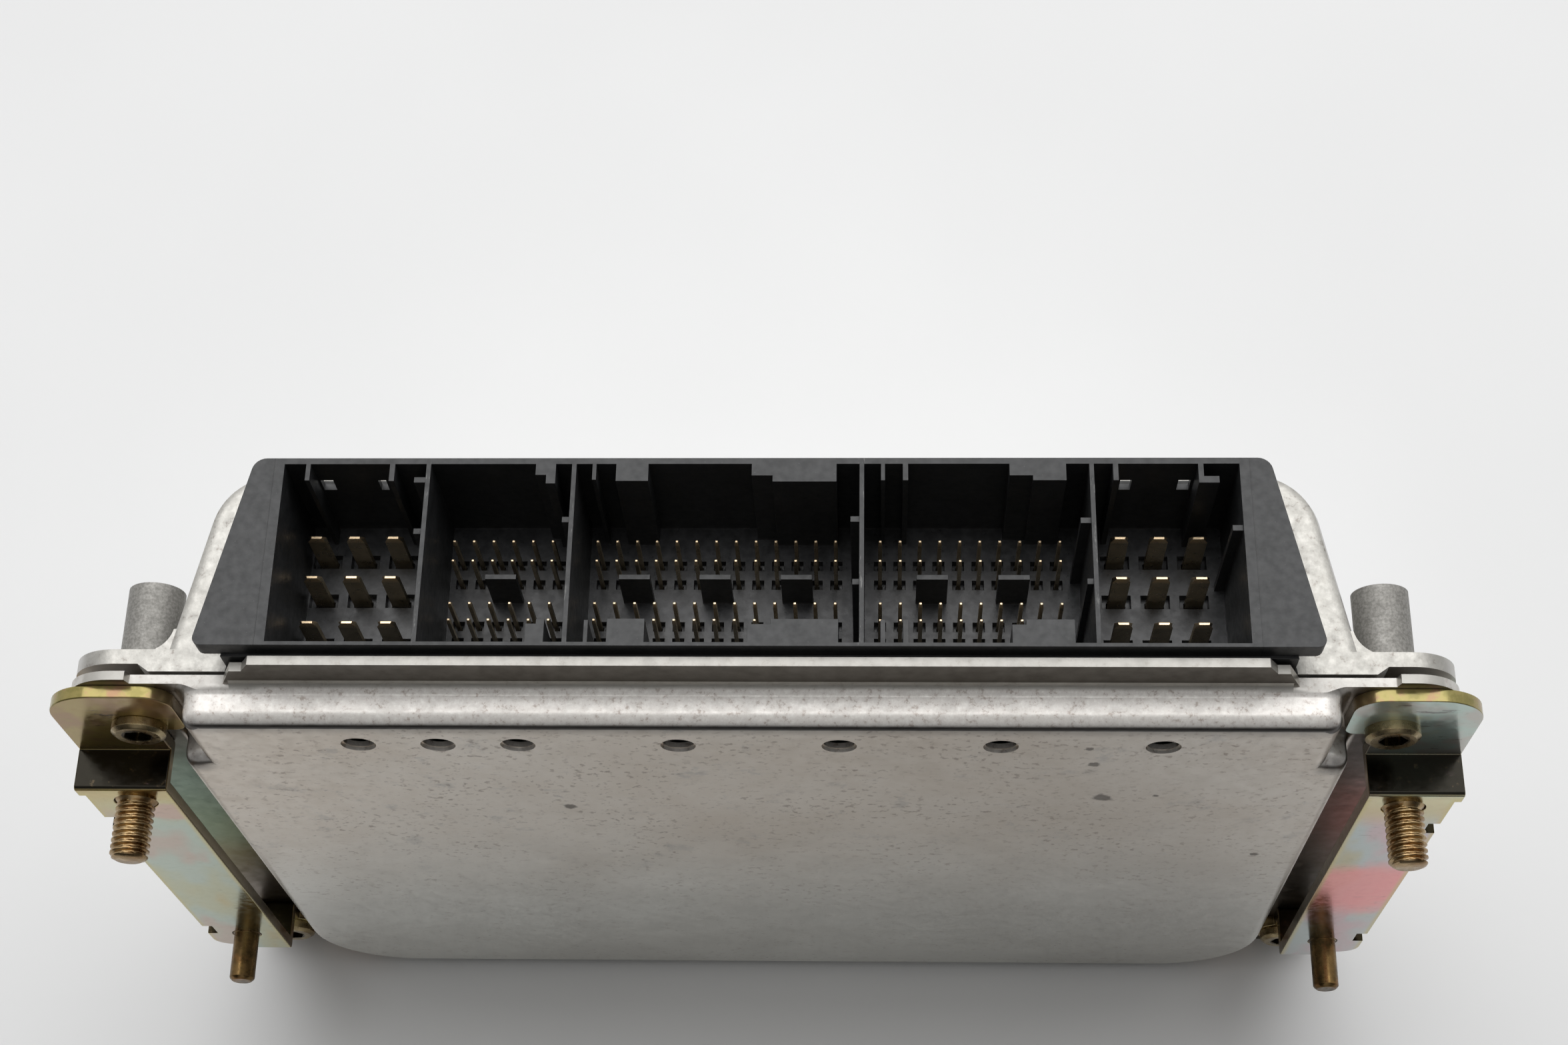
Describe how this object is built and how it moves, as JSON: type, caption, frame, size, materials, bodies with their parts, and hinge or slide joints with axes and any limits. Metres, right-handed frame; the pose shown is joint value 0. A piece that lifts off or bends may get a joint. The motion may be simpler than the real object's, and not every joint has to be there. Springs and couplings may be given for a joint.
{
  "type": "engine control unit",
  "caption": "Flat aluminium engine control unit with a cast lid, drawn base pan, multi-socket pin header and two zinc-plated side brackets carrying mounting studs.",
  "frame": {"origin": "centre of the overall box at its lowest plane, the rear end of the casing", "axes": "+X along the width to the right bracket, +Y from the mounting studs to the lid, +Z from the rear end to the sockets"},
  "size_m": [0.2118, 0.0528, 0.1402],
  "materials": {
    "cast_aluminium": "satin as cast, with small pits",
    "sheet_aluminium": "satin rolled sheet with fine scratches",
    "seal_rubber": "matte",
    "black_plastic": "fine matte",
    "contact_brass": "plated, bright tips",
    "board_green": "solder mask",
    "chip_plastic": "moulded",
    "component_sleeve": "sleeved",
    "plated_steel": "bright",
    "zinc_steel": "yellow zinc plate, iridescent"
  },
  "bodies": {
    "root": {"lid": "cast_aluminium", "base_pan": "sheet_aluminium", "housing_seal": "seal_rubber", "connector_housing": "black_plastic", "connector_seal": "seal_rubber", "power_tabs_left": "contact_brass", "pins_24_way": "contact_brass", "pins_52_way": "contact_brass", "pins_40_way": "contact_brass", "power_tabs_right": "contact_brass", "circuit_board": "board_green", "board_screws": "plated_steel", "microcontroller": "chip_plastic", "memory_chip": "chip_plastic", "crystal": "plated_steel", "driver_chips": "chip_plastic", "ignition_drivers": "chip_plastic", "capacitors": "component_sleeve", "inductors": "chip_plastic", "regulator": "chip_plastic", "chip_resistors": "chip_plastic", "bracket_left": "zinc_steel", "bracket_right": "zinc_steel", "mounting_stud_left": "zinc_steel", "mounting_stud_right": "zinc_steel", "locating_pin_left": "zinc_steel", "locating_pin_right": "zinc_steel", "bracket_screw_left": "zinc_steel", "bracket_screw_right": "zinc_steel", "rear_screw_left": "zinc_steel", "rear_screw_right": "zinc_steel"}
  },
  "joints": []
}
